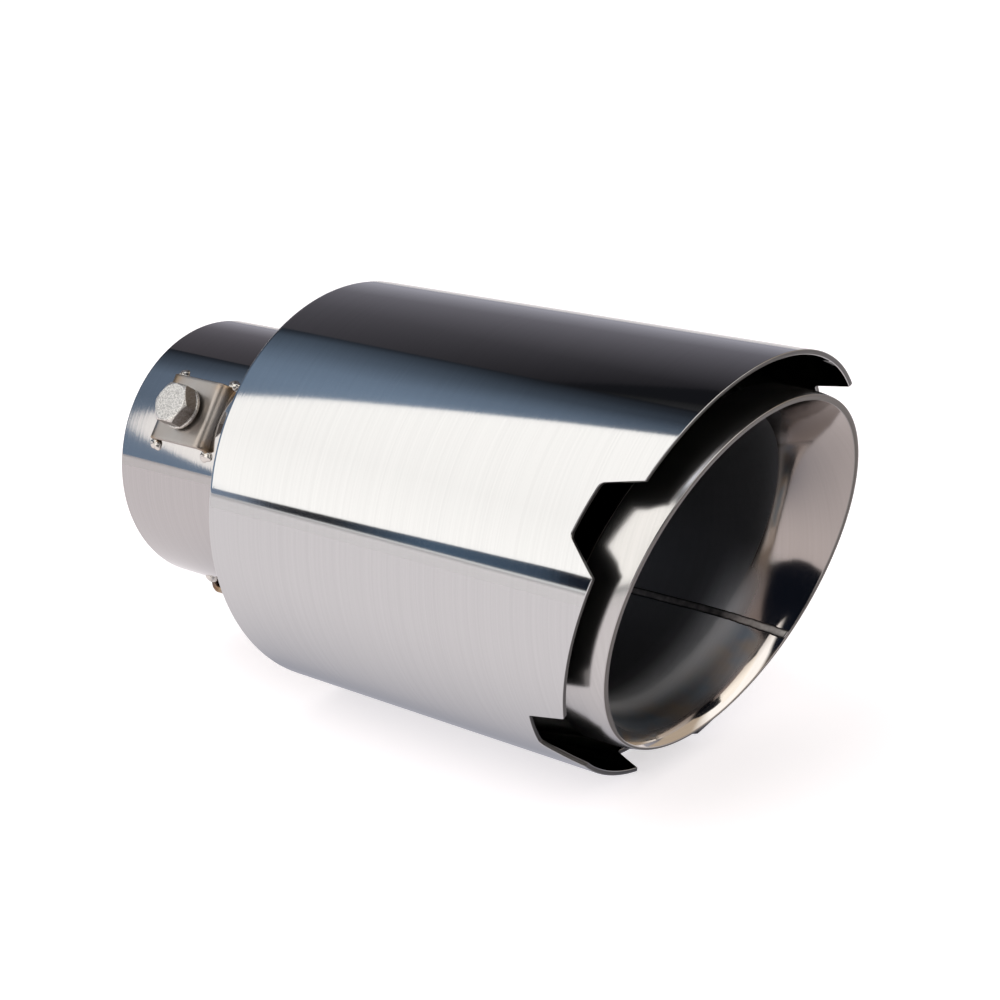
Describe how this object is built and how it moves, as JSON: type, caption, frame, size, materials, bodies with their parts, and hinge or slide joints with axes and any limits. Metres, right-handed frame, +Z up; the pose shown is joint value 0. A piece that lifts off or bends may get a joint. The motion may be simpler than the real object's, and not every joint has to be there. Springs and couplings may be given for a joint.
{
  "type": "exhaust tip",
  "caption": "Double-wall exhaust tip: a slant-cut polished shell with a notched outlet edge around a pipe that opens into a flared lip, clamped to a tailpipe by bolts at its inlet.",
  "frame": {"origin": "centre of the inlet mouth, on the axis of the pipe", "axes": "+Y along the pipe's axis, out of the inlet; -Y towards the outlet; +Z up, the side on which the slanted outlet is longest"},
  "size_m": [0.101, 0.1819, 0.101],
  "materials": {
    "polished_shell": "polished",
    "polished_pipe": "polished",
    "ring_steel": "satin",
    "saddle_steel": "satin",
    "bolt_steel": "matte"
  },
  "bodies": {
    "root": {"inner_pipe": "polished_pipe", "outer_shell": "polished_shell", "rear_ring": "ring_steel", "clamp_saddle_1": "saddle_steel", "clamp_saddle_2": "saddle_steel", "clamp_saddle_3": "saddle_steel", "clamp_bolt_1": "bolt_steel", "clamp_bolt_2": "bolt_steel", "clamp_bolt_3": "bolt_steel"}
  },
  "joints": []
}
